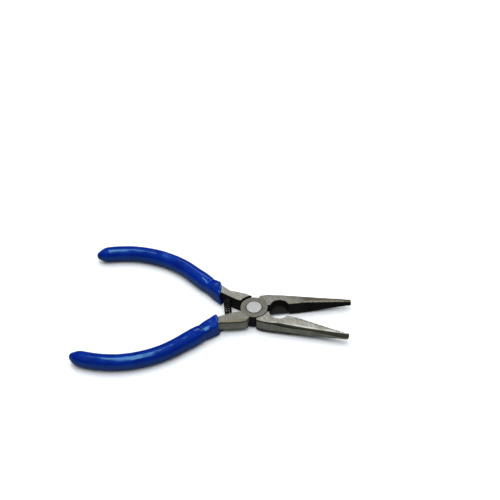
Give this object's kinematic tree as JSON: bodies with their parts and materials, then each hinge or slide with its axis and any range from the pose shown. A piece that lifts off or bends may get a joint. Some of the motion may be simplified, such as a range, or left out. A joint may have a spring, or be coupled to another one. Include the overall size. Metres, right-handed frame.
{
  "type": "long nose pliers",
  "caption": "Small long nose pliers with serrated tapered jaws, side cutters in a round hollow, a flush riveted lap joint, a coil return spring and dipped handles.",
  "frame": {"origin": "where the pivot axis leaves the joint's flat underside, at the centre of the rivet's lower face", "axes": "+Z along the pivot axis, up through the top lever's round boss; +X along the middle of the opening, towards the jaw tips; +Y to the side of the top lever's jaw"},
  "size_m": [0.1204, 0.0728, 0.0079],
  "materials": {
    "forged_steel": "oiled forging, fine ground faces",
    "rivet_steel": "bright, flush ground",
    "spring_steel": "black oiled wire",
    "dipped_grip": "blue glossy dipped PVC"
  },
  "bodies": {
    "top_half": {"top_lever": "forged_steel", "top_lever_grip": "dipped_grip", "pivot_rivet": "rivet_steel", "return_spring": "spring_steel"},
    "bottom_half": {"bottom_lever": "forged_steel", "bottom_lever_grip": "dipped_grip"}
  },
  "joints": [
    {"name": "pivot", "type": "hinge", "parent": "top_half", "child": "bottom_half", "pos_m": [0, 0, 0.00325], "axis": [0, 0, -1], "range_deg": [-25, 20], "stiffness_Nm_per_rad": 0.45, "deforming": ["return_spring"]}
  ]
}
